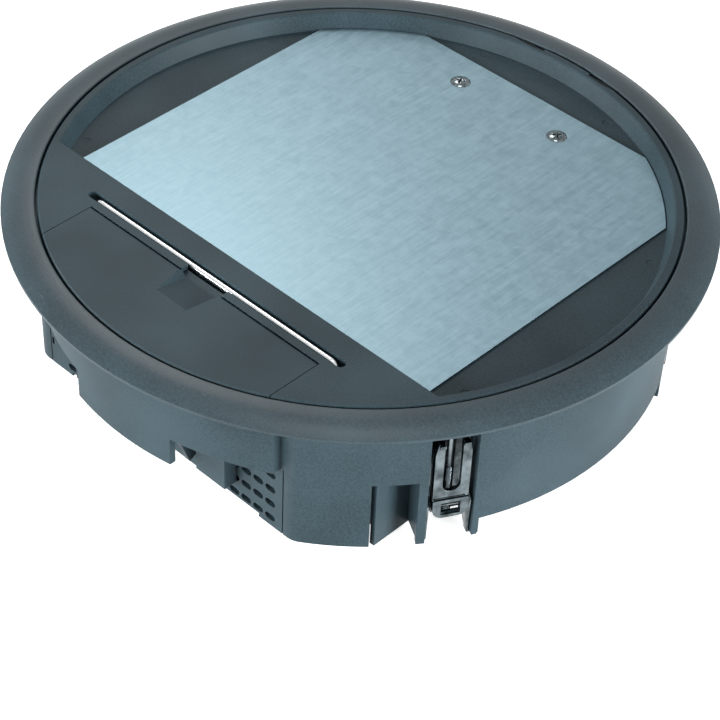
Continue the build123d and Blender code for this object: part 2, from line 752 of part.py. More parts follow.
# sloping finger recess in the flap, level from the flap's inner edge on
with BuildPart() as finger_cut:
    with BuildSketch(Plane.XZ.offset(flap_gap - flap_edge_y)) as finger_rear:
        with BuildLine():
            Polyline(
                (-finger_rear_half_width - 0.5, lid_top + 0.5),
                (finger_rear_half_width + 0.5, lid_top + 0.5),
                (finger_floor_half_width, lid_top - finger_depth),
                (-finger_floor_half_width, lid_top - finger_depth),
                close=True,
            )
        make_face()
    with BuildSketch(Plane.XZ.offset(-finger_front_y)):
        with BuildLine():
            Polyline(
                (-finger_front_half_width - 0.2, lid_top + 0.5),
                (finger_front_half_width + 0.2, lid_top + 0.5),
                (finger_front_half_width, lid_top - 0.05),
                (-finger_front_half_width, lid_top - 0.05),
                close=True,
            )
        make_face()
    loft()
    extrude(finger_rear.sketch, amount=flap_edge_y - flap_gap - notch_end_y)

# cord flap, which turns on two stub pins at the ends of its rounded inner edge
with BuildPart() as cord_flap:
    flap_bottom = lid_top - flap_thickness
    flap_side = flap_half_width - flap_gap
    with BuildSketch(Plane.XY.offset(flap_bottom)):
        Circle(lid_radius)
        with Locations((0, flap_pivot_y)):
            Rectangle(2 * flap_side, lid_radius, align=(Align.CENTER, Align.MAX), mode=Mode.INTERSECT)
    extrude(amount=flap_thickness)
    flap_rim = cord_flap.edges().group_by(Axis.Z)[-1].filter_by(GeomType.CIRCLE)
    chamfer(flap_rim, lid_edge_chamfer)
    with BuildSketch(Plane.YZ):
        with Locations((flap_pivot_y, flap_pivot_z)):
            Circle(flap_thickness / 2)
    extrude(amount=flap_side, both=True)
    # boss and tongue under the finger recess, lip at the rim and ribs
    with BuildSketch(Plane.XY.offset(flap_bottom - finger_floor_wall)):
        with Locations((0, flap_edge_y - flap_gap)):
            boss_width = 2 * (finger_floor_half_width + finger_boss_side)
            Rectangle(boss_width, finger_boss_length, align=(Align.CENTER, Align.MAX))
    extrude(amount=finger_floor_wall)
    block(
        (flap_gap - notch_half_width, flap_pivot_y - flap_thickness, flap_bottom - finger_floor_wall),
        (notch_half_width - flap_gap, tongue_end_y, flap_bottom + tongue_rise),
    )
    lip_side = flap_half_width - flap_ledge - 1
    with BuildSketch(Plane.XY.offset(rim_bottom)):
        Circle(lid_radius)
        Circle(lid_skirt_radius, mode=Mode.SUBTRACT)
        with Locations((0, flap_edge_y)):
            Rectangle(2 * lip_side, lid_radius, align=(Align.CENTER, Align.MAX), mode=Mode.INTERSECT)
        with Locations((0, -lid_skirt_radius + 3)):
            with GridLocations(lip_side / 2, 0, 4, 1):
                Rectangle(flap_rib, flap_rib_length)
        Circle(lid_radius - 1, mode=Mode.INTERSECT)
    extrude(amount=flap_bottom - rim_bottom)
    add(finger_cut.part, mode=Mode.SUBTRACT)
    for side in (-1, 1):
        with BuildSketch(Plane.YZ.offset(side * (flap_side - 1))):
            with Locations((flap_pivot_y, flap_pivot_z)):
                Circle(flap_pin_radius)
        extrude(amount=side * (flap_half_width + flap_pin_length - flap_side + 1))
cord_flap.part.label = "cord_flap"
export_step(cord_flap.part, "parts/cord_flap.step")

# lifting handle: a rod bent down at both ends, with its stops
with BuildPart() as handle_bar:
    with BuildLine() as handle_path:
        FilletPolyline(
            (-handle_leg_x, handle_y, handle_leg_bottom),
            (-handle_leg_x, handle_y, handle_z),
            (handle_leg_x, handle_y, handle_z),
            (handle_leg_x, handle_y, handle_leg_bottom),
            radius=handle_bend,
        )
    with BuildSketch(Plane.XY.offset(handle_leg_bottom)):
        with Locations((-handle_leg_x, handle_y)):
            Circle(handle_radius)
    sweep(path=handle_path.wires()[0])
handle_bar.part.label = "handle_bar"
export_step(handle_bar.part, "parts/handle_bar.step")

with BuildPart() as handle_stops:
    with BuildSketch(Plane.XY.offset(handle_leg_bottom)):
        with Locations((-handle_leg_x, handle_y), (handle_leg_x, handle_y)):
            Circle(handle_stop_radius)
            Circle(handle_radius, mode=Mode.SUBTRACT)
    extrude(amount=handle_stop_height)
handle_stops.part.label = "handle_stops"
export_step(handle_stops.part, "parts/handle_stops.step")

# claw bracket, drawn on +X: back plate, top flange and two hooked leaves
with BuildPart() as bracket:
    leaf_outer = pocket_half_width - bracket_gap
    back_face = pocket_back_radius + sheet
    bracket_top = floor_z - bracket_top_depth
    leaf_bottom = floor_z - pocket_depth
    hook_u = claw_screw_u + hook_inset
    block(
        (pocket_back_radius, -leaf_outer, leaf_bottom + bracket_foot),
        (back_face, leaf_outer, bracket_top),
    )
    block(
        (pocket_back_radius, -leaf_outer, bracket_top - sheet),
        (pocket_back_radius + bracket_top_reach, leaf_outer, bracket_top),
    )
    for side in (-1, 1):
        leaf_start = leaf_outer if side > 0 else -leaf_outer + sheet
        with BuildSketch(Plane.XZ.offset(-leaf_start)):
            with BuildLine():
                Polyline(
                    (pocket_back_radius, bracket_top),
                    (pocket_back_radius + bracket_neck_reach, bracket_top),
                    (pocket_back_radius + bracket_neck_reach, floor_z - bracket_neck_depth),
                    (pocket_back_radius + bracket_leaf_reach, floor_z - claw_nut_depth),
                    (hook_u + hook_width / 2, leaf_bottom),
                    (hook_u + hook_width / 2, leaf_bottom - sheet),
                    (hook_u - hook_width / 2, leaf_bottom - sheet),
                    (hook_u - hook_width / 2, leaf_bottom),
                    (pocket_back_radius + sheet, leaf_bottom + bracket_foot),
                    (pocket_back_radius, leaf_bottom + bracket_foot),
                    close=True,
                )
            make_face()
        extrude(amount=sheet)
        near, far = sorted((side * (leaf_outer - sheet), side * (leaf_outer + hook_length)))
        block(
            (hook_u - hook_width / 2, near, leaf_bottom - sheet),
            (hook_u + hook_width / 2, far, leaf_bottom),
        )
    with BuildSketch(Plane.XY.offset(bracket_top)):
        with Locations((claw_screw_u, 0)):
            Circle(claw_screw_radius + 2 * claw_fit)
    extrude(amount=-sheet, mode=Mode.SUBTRACT)

# claw screw, drawn on +X
with BuildPart() as claw_screw:
    head_bottom = bracket_top + claw_fit
    with BuildSketch(Plane.XY.offset(floor_z - claw_screw_depth)):
        with Locations((claw_screw_u, 0)):
            Circle(claw_screw_radius)
    extrude(amount=claw_screw_depth - bracket_top_depth + claw_fit)
    with BuildSketch(Plane.XY.offset(head_bottom)):
        with Locations((claw_screw_u, 0)):
            Circle(claw_screw_head_radius)
    extrude(amount=claw_screw_head_height)
    with Locations((claw_screw_u, 0, head_bottom + claw_screw_head_height)):
        Box(claw_cross, claw_cross / 4, claw_screw_head_height, mode=Mode.SUBTRACT)
        Box(claw_cross / 4, claw_cross, claw_screw_head_height, mode=Mode.SUBTRACT)

# barrel nut, drawn on +X: the claw turns on its two journals
with BuildPart() as claw_nut:
    nut_z = floor_z - claw_nut_depth
    with BuildSketch(Plane.XZ):
        with Locations((claw_screw_u, nut_z)):
            Circle(claw_nut_radius)
    extrude(amount=claw_nut_half_length, both=True)
    with BuildSketch(Plane.XZ):
        with Locations((claw_screw_u, nut_z)):
            Circle(claw_journal_radius)
    extrude(amount=claw_half_width - 0.1, both=True)
    with BuildSketch(Plane.XY.offset(nut_z)):
        with Locations((claw_screw_u, 0)):
            Circle(claw_screw_radius + claw_fit)
    extrude(amount=claw_nut_radius + 1, both=True, mode=Mode.SUBTRACT)

# claw, drawn on +X: forked plate, two cheeks and the raised frame at its foot
with BuildPart() as claw:
    claw_bottom = floor_z - claw_bottom_depth
    claw_top = floor_z - claw_top_depth
    plate_inner = claw_plate_u - claw_plate
    with BuildSketch(Plane.YZ.offset(plate_inner)) as claw_outline:
        with BuildLine():
            Polyline(
                (-claw_half_width, claw_bottom),
                (claw_half_width, claw_bottom),
                (claw_half_width, claw_top - 6),
                (claw_half_width - 1.2, claw_top),
                (-claw_half_width + 1.2, claw_top),
                (-claw_half_width, claw_top - 6),
                close=True,
            )
        make_face()
        fillet(claw_outline.vertices().group_by(Axis.Y)[0], claw_corner_radius)
        slot_centre = floor_z - claw_slot_bottom_depth + claw_slot_half_width
        with Locations((0, slot_centre)):
            Circle(claw_slot_half_width, mode=Mode.SUBTRACT)
            Rectangle(
                2 * claw_slot_half_width,
                claw_top - slot_centre + 1,
                align=(Align.CENTER, Align.MIN),
                mode=Mode.SUBTRACT,
            )
    extrude(amount=claw_plate)
    with BuildSketch(Plane.YZ.offset(claw_plate_u)) as foot:
        with Locations((0, claw_bottom + claw_face_height / 2)):
            Rectangle(2 * claw_half_width, claw_face_height)
        fillet(foot.vertices().group_by(Axis.Y)[0], claw_corner_radius)
        fillet(foot.vertices().group_by(Axis.Y)[-1], claw_tip)
    extrude(amount=claw_face)
    for side in (-1, 1):
        near, far = sorted((side * claw_slot_half_width, side * (claw_half_width - 1.3)))
        block((claw_plate_u, near, claw_top - 1.6), (claw_plate_u + claw_tip, far, claw_top))
        cheek_start = claw_half_width if side > 0 else -claw_half_width + claw_sheet
        cheek_bottom = nut_z - claw_journal_radius - claw_sheet
        with BuildSketch(Plane.XZ.offset(-cheek_start)):
            with BuildLine():
                Polyline(
                    (claw_screw_u - claw_nut_radius, cheek_bottom),
                    (plate_inner, cheek_bottom),
                    (plate_inner, claw_top - 5),
                    (plate_inner - 2, claw_top - 8),
                    (plate_inner - 3, floor_z - claw_slot_bottom_depth),
                    (claw_screw_u - claw_nut_radius, nut_z + claw_nut_radius),
                    close=True,
                )
            make_face()
            with Locations((claw_screw_u, nut_z)):
                Circle(claw_journal_radius + claw_fit, mode=Mode.SUBTRACT)
        extrude(amount=claw_sheet)
    with Locations((claw_plate_u, 0, claw_bottom + claw_face_height / 2)):
        Box(4 * claw_plate, 2 * claw_window_half_width, claw_window_height, mode=Mode.SUBTRACT)

for number, angle in enumerate(claw_angles, 1):
    for name, blank in (
        ("claw_bracket", bracket),
        ("claw_screw", claw_screw),
        ("claw_nut", claw_nut),
        ("claw", claw),
    ):
        placed = blank.part.rotate(Axis.Z, angle)
        placed.label = f"{name}_{number}"
        export_step(placed, f"parts/{name}_{number}.step")

# mounting boxes, which hang on the housing's rails by their end lugs
for name, side in (("left", -1), ("right", 1)):
    centre_x = side * box_centre_x
    box_bottom = floor_z - box_bottom_depth
    with BuildPart() as mounting_box:
        with BuildSketch(Plane.XY.offset(box_bottom)):
            with Locations((centre_x, 0)):
                RectangleRounded(box_width, 2 * box_half_length, box_corner)
        extrude(amount=box_top - box_bottom)
        with BuildSketch(Plane.XY.offset(box_bottom + box_wall)):
            with Locations((centre_x, 0)):
                inner_length = 2 * (box_half_length - box_wall)
                RectangleRounded(box_width - 2 * box_wall, inner_length, box_corner - box_wall)
        extrude(amount=box_top - box_bottom, mode=Mode.SUBTRACT)
        for end in (-1, 1):
            near, far = sorted((end * (box_half_length - 0.5), end * (box_half_length + lug_reach)))
            block(
                (centre_x - lug_half_width, near, box_top - lug_thickness),
                (centre_x + lug_half_width, far, box_top),
            )
            with BuildSketch(Plane.XY.offset(box_top)):
                with Locations((centre_x, end * (box_half_length + lug_reach / 2))):
                    Circle(lug_screw_radius + 0.2)
            extrude(amount=-lug_thickness, mode=Mode.SUBTRACT)
        with BuildSketch(Plane.XZ.offset(-box_half_length)):
            with Locations((centre_x, (box_bottom + box_top) / 2)):
                Circle(grommet_radius)
        extrude(amount=box_wall, mode=Mode.SUBTRACT)
    mounting_box.part.label = f"mounting_box_{name}"
    export_step(mounting_box.part, f"parts/mounting_box_{name}.step")

    # rubber grommet in the cable entry of the box
    with BuildPart() as cable_grommet:
        with BuildSketch(Plane.XZ.offset(-box_half_length - grommet_flange_thickness)):
            with Locations((centre_x, (box_bottom + box_top) / 2)):
                Circle(grommet_radius + grommet_flange)
        extrude(amount=grommet_flange_thickness)
        with BuildSketch(Plane.XZ.offset(-box_half_length)):
            with Locations((centre_x, (box_bottom + box_top) / 2)):
                Circle(grommet_radius)
        extrude(amount=box_wall)
        with BuildSketch(Plane.XZ.offset(-box_half_length + box_wall)):
            with Locations((centre_x, (box_bottom + box_top) / 2)):
                Circle(grommet_radius + grommet_flange)
        extrude(amount=grommet_flange_thickness)
        with BuildSketch(Plane.XZ.offset(-box_half_length)):
            with Locations((centre_x, (box_bottom + box_top) / 2)):
                Circle(grommet_bore_radius)
        extrude(amount=5 * grommet_flange_thickness, both=True, mode=Mode.SUBTRACT)
    cable_grommet.part.label = f"cable_grommet_{name}"
    export_step(cable_grommet.part, f"parts/cable_grommet_{name}.step")

    with BuildPart() as socket_cover:
        with BuildSketch(Plane.XY.offset(box_top)):
            with Locations((centre_x, 0)):
                RectangleRounded(box_width, 2 * box_half_length, box_corner)
                with GridLocations(0, socket_pitch, 1, socket_count):
                    socket_hole = socket_body + 2 * socket_fit
                    Rectangle(socket_hole, socket_hole, mode=Mode.SUBTRACT)
        extrude(amount=cover_thickness)
    socket_cover.part.label = f"socket_cover_{name}"
    export_step(socket_cover.part, f"parts/socket_cover_{name}.step")

with BuildPart() as box_screws:
    for side in (-1, 1):
        for end in (-1, 1):
            place = (side * box_centre_x, end * (box_half_length + lug_reach / 2), box_top)
            with BuildSketch(Plane.XY.offset(box_top)):
                with Locations(place[:2]):
                    Circle(lug_screw_head_radius)
            extrude(amount=lug_thickness)
            with BuildSketch(Plane.XY.offset(box_top)):
                with Locations(place[:2]):
                    Circle(lug_screw_radius)
            extrude(amount=-lug_screw_length)
box_screws.part.label = "box_screws"
export_step(box_screws.part, "parts/box_screws.step")

# one socket, drawn about the origin with the top of its flange at Z = 0
with BuildPart() as socket:
    with BuildSketch():
        RectangleRounded(socket_flange, socket_flange, socket_flange_corner)
    extrude(amount=-socket_flange_thickness)
    with BuildSketch(Plane.XY.offset(-socket_flange_thickness)):
        RectangleRounded(socket_body, socket_body, socket_body_corner)
    extrude(amount=-socket_body_depth)
    with BuildSketch():
        Circle(well_radius)
    extrude(amount=-well_depth, mode=Mode.SUBTRACT)
    with BuildSketch(Plane.XY.offset(-well_depth)):
        with GridLocations(contact_spacing, 0, 2, 1):
            Circle(contact_hole_radius)
    extrude(amount=-sleeve_length - 1, mode=Mode.SUBTRACT)
    clip_reach = well_radius + clip_groove
    channel_top = -well_depth - 1.5
    channel_bottom = channel_top - clip_thickness - 2 * clip_gap
    groove_half = clip_half_width + clip_gap
    block(
        (-groove_half, -clip_reach, channel_bottom),
        (groove_half, clip_reach, channel_top),
        Mode.SUBTRACT,
    )
    for side in (-1, 1):
        near, far = sorted((side * (well_radius - 1), side * clip_reach))
        block(
            (-groove_half, near, channel_bottom),
            (groove_half, far, -socket_flange_thickness),
            Mode.SUBTRACT,
        )

# earth clip of one socket: a strap under the well with two sprung legs
with BuildPart() as earth_clip:
    leg_outer = clip_reach - clip_gap
    leg_top = -socket_flange_thickness - 1
    strap_bottom = channel_bottom + clip_gap
    block(
        (-clip_half_width, -leg_outer, strap_bottom),
        (clip_half_width, leg_outer, strap_bottom + clip_thickness),
    )
    for side in (-1, 1):
        near, far = sorted((side * (leg_outer - clip_thickness), side * leg_outer))
        block((-clip_half_width, near, strap_bottom), (clip_half_width, far, leg_top))
        with BuildSketch(Plane.YZ):
            with BuildLine():
                Polyline(
                    (side * (leg_outer - clip_thickness), leg_top),
                    (side * (well_radius - clip_bump), leg_top - clip_bump_height),
                    (side * (leg_outer - clip_thickness), leg_top - 2 * clip_bump_height),
                    close=True,
                )
            make_face()
        extrude(amount=clip_half_width, both=True)

# brass sleeves of one socket's two contacts
with BuildPart() as contact_sleeves:
    with BuildSketch(Plane.XY.offset(-well_depth - 0.5)):
        with GridLocations(contact_spacing, 0, 2, 1):
            Circle(sleeve_radius)
            Circle(sleeve_bore_radius, mode=Mode.SUBTRACT)
    extrude(amount=-sleeve_length)

number = 0
for side in (-1, 1):
    for row in range(socket_count):
        number += 1
        row_y = (row - (socket_count - 1) / 2) * socket_pitch
        place = Location((side * box_centre_x, row_y, cover_top + socket_flange_thickness))
        for name, blank in (
            ("socket", socket),
            ("earth_clip", earth_clip),
            ("contact_sleeves", contact_sleeves),
        ):
            placed = place * blank.part
            placed.label = f"{name}_{number}"
            export_step(placed, f"parts/{name}_{number}.step")
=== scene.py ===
# Floor socket box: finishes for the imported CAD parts, the small hardware that
# is drawn here, and a plain studio round them. Lengths are in metres, but the
# screws and the sheet parts are given in millimetres, and angles in degrees.
import json
import math

import bmesh
import bpy
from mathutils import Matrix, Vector

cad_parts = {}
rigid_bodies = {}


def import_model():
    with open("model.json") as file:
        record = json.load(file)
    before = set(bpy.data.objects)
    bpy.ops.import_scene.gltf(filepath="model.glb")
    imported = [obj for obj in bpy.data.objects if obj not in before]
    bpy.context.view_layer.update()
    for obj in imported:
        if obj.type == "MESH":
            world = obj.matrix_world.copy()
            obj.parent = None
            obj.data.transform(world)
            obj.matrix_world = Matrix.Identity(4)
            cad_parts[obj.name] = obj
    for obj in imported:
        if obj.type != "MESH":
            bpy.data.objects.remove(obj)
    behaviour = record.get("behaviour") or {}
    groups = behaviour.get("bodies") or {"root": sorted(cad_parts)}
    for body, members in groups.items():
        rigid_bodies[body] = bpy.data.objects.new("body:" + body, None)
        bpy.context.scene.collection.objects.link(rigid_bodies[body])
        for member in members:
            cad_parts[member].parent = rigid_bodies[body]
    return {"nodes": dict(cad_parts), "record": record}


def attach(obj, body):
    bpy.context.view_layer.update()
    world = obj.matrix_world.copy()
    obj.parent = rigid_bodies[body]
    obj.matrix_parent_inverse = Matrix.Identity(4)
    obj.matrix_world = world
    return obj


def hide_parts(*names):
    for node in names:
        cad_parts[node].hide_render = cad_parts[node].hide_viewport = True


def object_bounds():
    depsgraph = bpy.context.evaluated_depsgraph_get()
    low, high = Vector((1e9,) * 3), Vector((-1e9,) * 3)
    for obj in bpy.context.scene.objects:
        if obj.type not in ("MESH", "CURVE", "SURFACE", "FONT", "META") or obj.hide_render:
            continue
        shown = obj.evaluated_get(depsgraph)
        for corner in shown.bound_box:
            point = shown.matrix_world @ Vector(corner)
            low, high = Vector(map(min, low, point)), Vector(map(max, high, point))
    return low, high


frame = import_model()
cadLow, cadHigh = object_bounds()
nodes = frame["nodes"]
mm = 0.001
print("frame loaded with", len(nodes), "CAD nodes")


camera = {
    "place": (0.52591, -0.57269, 0.67704),
    "turn": (47.628, -0.951, 45.412),
    "lens": 107.70,
    "sensor": 36,
    "shift": (0.0873, 0.0108),
    "clip": (0.02, 50),
}
cameraData = bpy.data.cameras.new("camera")
cameraData.lens = camera["lens"]
cameraData.sensor_width = camera["sensor"]
cameraData.shift_x, cameraData.shift_y = camera["shift"]
cameraData.clip_start, cameraData.clip_end = camera["clip"]
cameraObject = bpy.data.objects.new("camera", cameraData)
cameraObject.location = camera["place"]
cameraObject.rotation_euler = [math.radians(angle) for angle in camera["turn"]]
bpy.context.scene.collection.objects.link(cameraObject)
bpy.context.scene.camera = cameraObject
bpy.context.scene.view_settings.view_transform = "Standard"


def hexToLinear(code):
    # the numbers are those of the sRGB curve
    channels = [int(code[start:start + 2], 16) / 255 for start in (1, 3, 5)]
    linear = [c / 12.92 if c <= 0.04045 else ((c + 0.055) / 1.055) ** 2.4 for c in channels]
    return (*linear, 1.0)


def addNode(tree, kind, options=None, values=None, links=None):
    # options are the node's own settings and values its open sockets,
    # and links says {socket: (node, its output)}
    node = tree.nodes.new("ShaderNode" + kind)
    for name, value in (options or {}).items():
        setattr(node, name, value)
    for name, value in (values or {}).items():
        node.inputs[name].default_value = value
    for name, (source, output) in (links or {}).items():
        tree.links.new(source.outputs[output], node.inputs[name])
    return node


def addLamp(name, lamp):
    data = bpy.data.lights.new(name, "AREA")
    data.shape = "RECTANGLE"
    data.size, data.size_y = lamp["size"]
    data.energy = lamp["power"]
    data.color = hexToLinear(lamp["colour"])[:3]
    item = bpy.data.objects.new(name, data)
    item.location = lamp["place"]
    item.rotation_mode = "QUATERNION"
    aim = Vector(lamp["aim"]) - Vector(lamp["place"])
    item.rotation_quaternion = aim.to_track_quat("-Z", "Y")
    bpy.context.scene.collection.objects.link(item)


lamps = {
    "leftLamp": {
        "place": (-1.2, -1.0, 0.3), "aim": (0, 0, 0.04),
        "size": (0.9, 0.4), "power": 23, "colour": "#F7FBFC",
    },
    "rightLamp": {
        "place": (1.35, 0.25, 0.22), "aim": (0, 0, 0.03),
        "size": (0.8, 0.4), "power": 38, "colour": "#F7FBFC",
    },
    "frontLamp": {
        "place": (-0.1, -1.45, 0.5), "aim": (0, -0.05, 0.05),
        "size": (0.9, 0.4), "power": 27, "colour": "#F7FBFC",
    },
    "plateLamp": {
        "place": (-0.72, 0.44, 1.04), "aim": (-0.05, 0, 0.07),
        "size": (0.3, 0.3), "power": 4.0, "colour": "#FFFBF7",
    },
    "overLamp": {
        "place": (0.1, -0.15, 1.5), "aim": (0.05, -0.1, 0.08),
        "size": (0.4, 0.4), "power": 5.5, "colour": "#F7FBFC",
    },
}
for lampName, lamp in lamps.items():
    addLamp(lampName, lamp)

larger = {"operation": "MAXIMUM"}
numberMix = {"data_type": "FLOAT"}

# the world is white to the camera and in mirrors, and lights the box only a little
sky = {"colour": "#FFFFFF", "lighting": 0.05, "seen": 1.0}
world = bpy.data.worlds.new("studio")
bpy.context.scene.world = world
world.use_nodes = True
world.node_tree.nodes.clear()
tree = world.node_tree
path = addNode(tree, "LightPath")
mirrorRays = {0: (path, "Is Glossy Ray"), 1: (path, "Is Transmission Ray")}
mirrored = addNode(tree, "Math", larger, None, mirrorRays)
seen = addNode(tree, "Math", larger, None, {0: (path, "Is Camera Ray"), 1: (mirrored, 0)})
glow = addNode(tree, "Mix", numberMix, {2: sky["lighting"], 3: sky["seen"]}, {0: (seen, 0)})
back = addNode(tree, "Background", None, {"Color": hexToLinear(sky["colour"])}, {"Strength": (glow, 0)})
addNode(tree, "OutputWorld", None, None, {"Surface": (back, 0)})

# a pale floor that keeps the box's shadow, and reads as white where nothing shades it
ground = {"size": 6, "gap": 0.0003, "paint": "#EDEDED", "shine": "#FFFFFF", "shineStrength": 0.8}
bpy.ops.mesh.primitive_plane_add(size=ground["size"], location=(0, 0, cadLow.z - ground["gap"]))
floor = bpy.context.object
floor.name = "studioFloor"
floorPaint = bpy.data.materials.new("matt white floor paint")
floorPaint.use_nodes = True
floorPaint.node_tree.nodes.clear()
tree = floorPaint.node_tree
path = addNode(tree, "LightPath")
seen = addNode(tree, "Math", larger, None, {0: (path, "Is Camera Ray"), 1: (path, "Is Glossy Ray")})
paint = addNode(tree, "BsdfDiffuse", None, {"Color": hexToLinear(ground["paint"])})
shineValues = {"Color": hexToLinear(ground["shine"]), "Strength": ground["shineStrength"]}
shine = addNode(tree, "Emission", None, shineValues)
lit = addNode(tree, "AddShader", None, None, {0: (paint, 0), 1: (shine, 0)})
both = addNode(tree, "MixShader", None, None, {0: (seen, 0), 1: (paint, 0), 2: (lit, 0)})
addNode(tree, "OutputMaterial", None, None, {"Surface": (both, 0)})
floor.data.materials.append(floorPaint)
print("camera, lamps and floor placed")


def startFinish(name, metallic, specular=0.5, ior=None):
    material = bpy.data.materials.new(name)
    material.use_nodes = True
    tree = material.node_tree
    tree.nodes.clear()
    values = {"Metallic": metallic, "Specular IOR Level": specular}
    shader = addNode(tree, "BsdfPrincipled", None, values)
    if ior:
        shader.inputs["IOR"].default_value = ior
    addNode(tree, "OutputMaterial", None, None, {"Surface": (shader, "BSDF")})
    place = addNode(tree, "TexCoord")
    return material, tree, shader, place


def tintBy(tree, shader, pattern, socket, finish, low, high):
    # colour runs from dark to light as the pattern goes from low to high
    ramp = addNode(tree, "ValToRGB", None, None, {"Fac": (pattern, socket)})
    darkEnd, lightEnd = ramp.color_ramp.elements
    darkEnd.position, lightEnd.position = low, high
    darkEnd.color, lightEnd.color = hexToLinear(finish["dark"]), hexToLinear(finish["light"])
    tree.links.new(ramp.outputs["Color"], shader.inputs["Base Color"])


def roughBy(tree, shader, pattern, socket, finish):
    # roughness runs from smooth to rough over the middle of the pattern
    values = {"From Min": 0.3, "From Max": 0.7, "To Min": finish["smooth"], "To Max": finish["rough"]}
    spread = addNode(tree, "MapRange", None, values, {"Value": (pattern, socket)})
    tree.links.new(spread.outputs["Result"], shader.inputs["Roughness"])


def bumpBy(tree, shader, pattern, socket, height, strength, edge):
    # the pattern stands up by height, over edges that are rounded by the radius edge
    values = {"Strength": strength, "Distance": height}
    bump = addNode(tree, "Bump", None, values, {"Height": (pattern, socket)})
    soft = addNode(tree, "Bevel", {"samples": 4}, {"Radius": edge})
    tree.links.new(soft.outputs["Normal"], bump.inputs["Normal"])
    tree.links.new(bump.outputs["Normal"], shader.inputs["Normal"])


plasticSurface = {"ior": 1.53, "height": 0.00006, "tintFrom": 0.36, "tintTo": 0.64}


def mouldedPlastic(name, finish):
    # polyamide from a spark-eroded mould: fine even grain, broad low sheen, faint flow shading
    surface = plasticSurface
    material, tree, shader, place = startFinish(name, 0.0, finish["specular"], surface["ior"])
    inObject = {"Vector": (place, "Object")}
    grainValues = {"Scale": 1 / finish["grain"], "Detail": 3.0, "Roughness": 0.6}
    grain = addNode(tree, "TexNoise", None, grainValues, inObject)
    flow = addNode(tree, "TexNoise", None, {"Scale": 1 / finish["flow"], "Detail": 2.0}, inObject)
    tone = addNode(tree, "Mix", numberMix, {0: 0.5}, {2: (flow, "Fac"), 3: (grain, "Fac")})
    tintBy(tree, shader, tone, 0, finish, surface["tintFrom"], surface["tintTo"])
    roughBy(tree, shader, grain, "Fac", finish)
    bumpBy(tree, shader, grain, "Fac", surface["height"], finish["relief"], finish["edge"])
    return material


# the mould's real grain is about 0.3 mm, drawn at 0.9 mm so that it shows
slateFinish = {
    "dark": "#222E33", "light": "#37464D", "grain": 0.0009, "flow": 0.055,
    "smooth": 0.42, "rough": 0.56, "specular": 0.12, "relief": 0.6, "edge": 0.0003,
}
ringFinish = dict(slateFinish, smooth=0.32, rough=0.46, specular=0.26, relief=0.9)
coverFinish = {
    "dark": "#353F45", "light": "#3B464C", "grain": 0.0012, "flow": 0.05,
    "smooth": 0.5, "rough": 0.62, "specular": 0.5, "relief": 0.3, "edge": 0.0003,
}
socketFinish = {
    "dark": "#24292C", "light": "#2A3033", "grain": 0.0016, "flow": 0.03,
    "smooth": 0.26, "rough": 0.36, "specular": 0.5, "relief": 0.12, "edge": 0.0003,
}
rubberFinish = {
    "dark": "#17191A", "light": "#1E2122", "grain": 0.0008, "flow": 0.02,
    "smooth": 0.62, "rough": 0.78, "specular": 0.4, "relief": 0.3, "edge": 0.0004,
}
slatePlastic = mouldedPlastic("slate grey polyamide, spark-eroded mould grain", slateFinish)
ringPlastic = mouldedPlastic("slate grey polyamide, satin mould grain", ringFinish)
coverPlastic = mouldedPlastic("dark grey polyamide, moulded", coverFinish)
socketPlastic = mouldedPlastic("anthracite polycarbonate, satin mould", socketFinish)
mouldedRubber = mouldedPlastic("EPDM rubber, moulded", rubberFinish)  # dull, with hardly any grain

plateFinish = {
    "dark": "#6B828C", "light": "#788F99", "line": 0.0012, "mottle": 0.006, "stretch": 0.06,
    "smooth": 0.36, "rough": 0.46, "height": 0.00002, "relief": 0.25, "edge": 0.0002,
    "tintFrom": 0.38, "tintTo": 0.62,
}


def galvanisedSheet(name, finish):
    # skin-passed galvanised steel: bluish white metal, fine rolled lines, soft zinc mottling
    material, tree, shader, place = startFinish(name, 1.0)
    inObject = {"Vector": (place, "Object")}
    along = addNode(tree, "Mapping", None, {"Scale": (1.0, finish["stretch"], 1.0)}, inObject)
    lineValues = {"Scale": 1 / finish["line"], "Detail": 4.0, "Roughness": 0.65}
    lines = addNode(tree, "TexNoise", None, lineValues, {"Vector": (along, 0)})
    mottleValues = {"Scale": 1 / finish["mottle"], "Detail": 5.0, "Roughness": 0.6, "Distortion": 0.6}
    mottle = addNode(tree, "TexNoise", None, mottleValues, inObject)
    both = addNode(tree, "Mix", numberMix, {0: 0.5}, {2: (lines, "Fac"), 3: (mottle, "Fac")})
    tintBy(tree, shader, both, 0, finish, finish["tintFrom"], finish["tintTo"])
    roughBy(tree, shader, both, 0, finish)
    bumpBy(tree, shader, both, 0, finish["height"], finish["relief"], finish["edge"])
    return material


galvanisedSteel = galvanisedSheet("galvanised steel sheet, skin-passed", plateFinish)

platedSurface = {"height": 0.00001, "relief": 0.2, "tintFrom": 0.3, "tintTo": 0.7}


def platedMetal(name, finish):
    # plated or polished metal: its own tint, faint cloudiness and soft scuffing in the gloss
    surface = platedSurface
    material, tree, shader, place = startFinish(name, 1.0)
    inObject = {"Vector": (place, "Object")}
    cloud = addNode(tree, "TexNoise", None, {"Scale": 1 / finish["cloud"], "Detail": 3.0}, inObject)
    scuffValues = {"Scale": 1 / finish["scuff"], "Detail": 4.0, "Roughness": 0.7}
    scuff = addNode(tree, "TexNoise", None, scuffValues, inObject)
    tintBy(tree, shader, cloud, "Fac", finish, surface["tintFrom"], surface["tintTo"])
    roughBy(tree, shader, scuff, "Fac", finish)
    bumpBy(tree, shader, scuff, "Fac", surface["height"], surface["relief"], finish["edge"])
    return material


